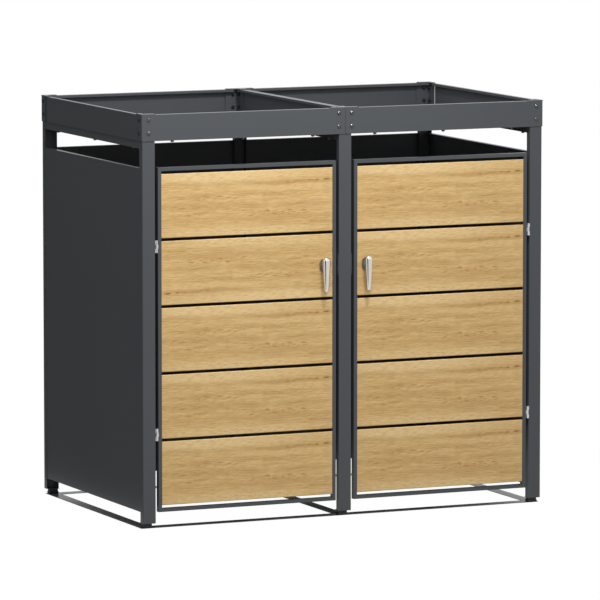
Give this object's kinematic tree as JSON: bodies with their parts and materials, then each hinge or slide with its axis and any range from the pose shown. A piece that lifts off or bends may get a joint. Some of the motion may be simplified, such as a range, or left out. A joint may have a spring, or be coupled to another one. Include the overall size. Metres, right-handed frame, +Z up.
{
  "type": "wheelie bin store",
  "caption": "Steel-framed garden store that hides wheelie bins behind hinged wood-effect doors, with an open planting tray on top.",
  "frame": {"origin": "middle of the footprint, on the ground, under the middle floor strip", "axes": "+X to the right seen from the front, +Y to the back, +Z up"},
  "size_m": [1.3872, 0.8721, 1.2925],
  "materials": {
    "graphite_steel": "satin powder coat",
    "wood_decor": "steel with a light wood decor",
    "bright_metal": "satin",
    "hinge_steel": "zinc plated",
    "zinc_fasteners": "zinc plated",
    "foot_plastic": "moulded"
  },
  "bodies": {
    "store": {"corner_caps": "graphite_steel", "divider_left": "graphite_steel", "divider_right": "graphite_steel", "fascia_front_left": "graphite_steel", "fascia_front_right": "graphite_steel", "fascia_rear_left": "graphite_steel", "fascia_rear_right": "graphite_steel", "fascia_side_left": "graphite_steel", "fascia_side_right": "graphite_steel", "feet": "foot_plastic", "floor_strip_left": "graphite_steel", "floor_strip_middle": "graphite_steel", "floor_strip_right": "graphite_steel", "floor_strips_across": "graphite_steel", "hinge_pins": "hinge_steel", "hinge_post_leaves": "hinge_steel", "latch_keepers": "graphite_steel", "middle_caps": "graphite_steel", "post_front_left": "graphite_steel", "post_front_middle": "graphite_steel", "post_front_right": "graphite_steel", "post_rear_left": "graphite_steel", "post_rear_middle": "graphite_steel", "post_rear_right": "graphite_steel", "post_rivets": "zinc_fasteners", "rail_left": "graphite_steel", "rail_middle": "graphite_steel", "rail_right": "graphite_steel", "rear_wall_left": "graphite_steel", "rear_wall_right": "graphite_steel", "side_wall_left": "graphite_steel", "side_wall_right": "graphite_steel", "tray_bolts": "zinc_fasteners", "tray_brackets": "graphite_steel", "tray_floor_left": "graphite_steel", "tray_floor_right": "graphite_steel", "tray_floor_screws": "zinc_fasteners", "tray_nuts": "zinc_fasteners"},
    "left_door": {"left_door_board_1": "wood_decor", "left_door_board_2": "wood_decor", "left_door_board_3": "wood_decor", "left_door_board_4": "wood_decor", "left_door_board_5": "wood_decor", "left_door_frame": "graphite_steel", "left_door_hinge_leaves": "hinge_steel", "left_door_rivets": "zinc_fasteners", "left_lock": "bright_metal"},
    "right_door": {"right_door_board_1": "wood_decor", "right_door_board_2": "wood_decor", "right_door_board_3": "wood_decor", "right_door_board_4": "wood_decor", "right_door_board_5": "wood_decor", "right_door_frame": "graphite_steel", "right_door_hinge_leaves": "hinge_steel", "right_door_rivets": "zinc_fasteners", "right_lock": "bright_metal"},
    "left_handle": {"left_cam": "bright_metal", "left_lever": "bright_metal"},
    "right_handle": {"right_cam": "bright_metal", "right_lever": "bright_metal"}
  },
  "joints": [
    {"name": "left_door_hinge", "type": "hinge", "parent": "store", "child": "left_door", "pos_m": [-0.64075, -0.4195, 0.5875], "axis": [0, 0, -1], "range_deg": [0, 110]},
    {"name": "right_door_hinge", "type": "hinge", "parent": "store", "child": "right_door", "pos_m": [0.64075, -0.4195, 0.5875], "axis": [0, 0, 1], "range_deg": [0, 110]},
    {"name": "left_handle_turn", "type": "hinge", "parent": "left_door", "child": "left_handle", "pos_m": [-0.073, -0.42, 0.79683], "axis": [0, 1, 0], "range_deg": [0, 90]},
    {"name": "right_handle_turn", "type": "hinge", "parent": "right_door", "child": "right_handle", "pos_m": [0.073, -0.42, 0.79683], "axis": [0, -1, 0], "range_deg": [0, 90]}
  ]
}
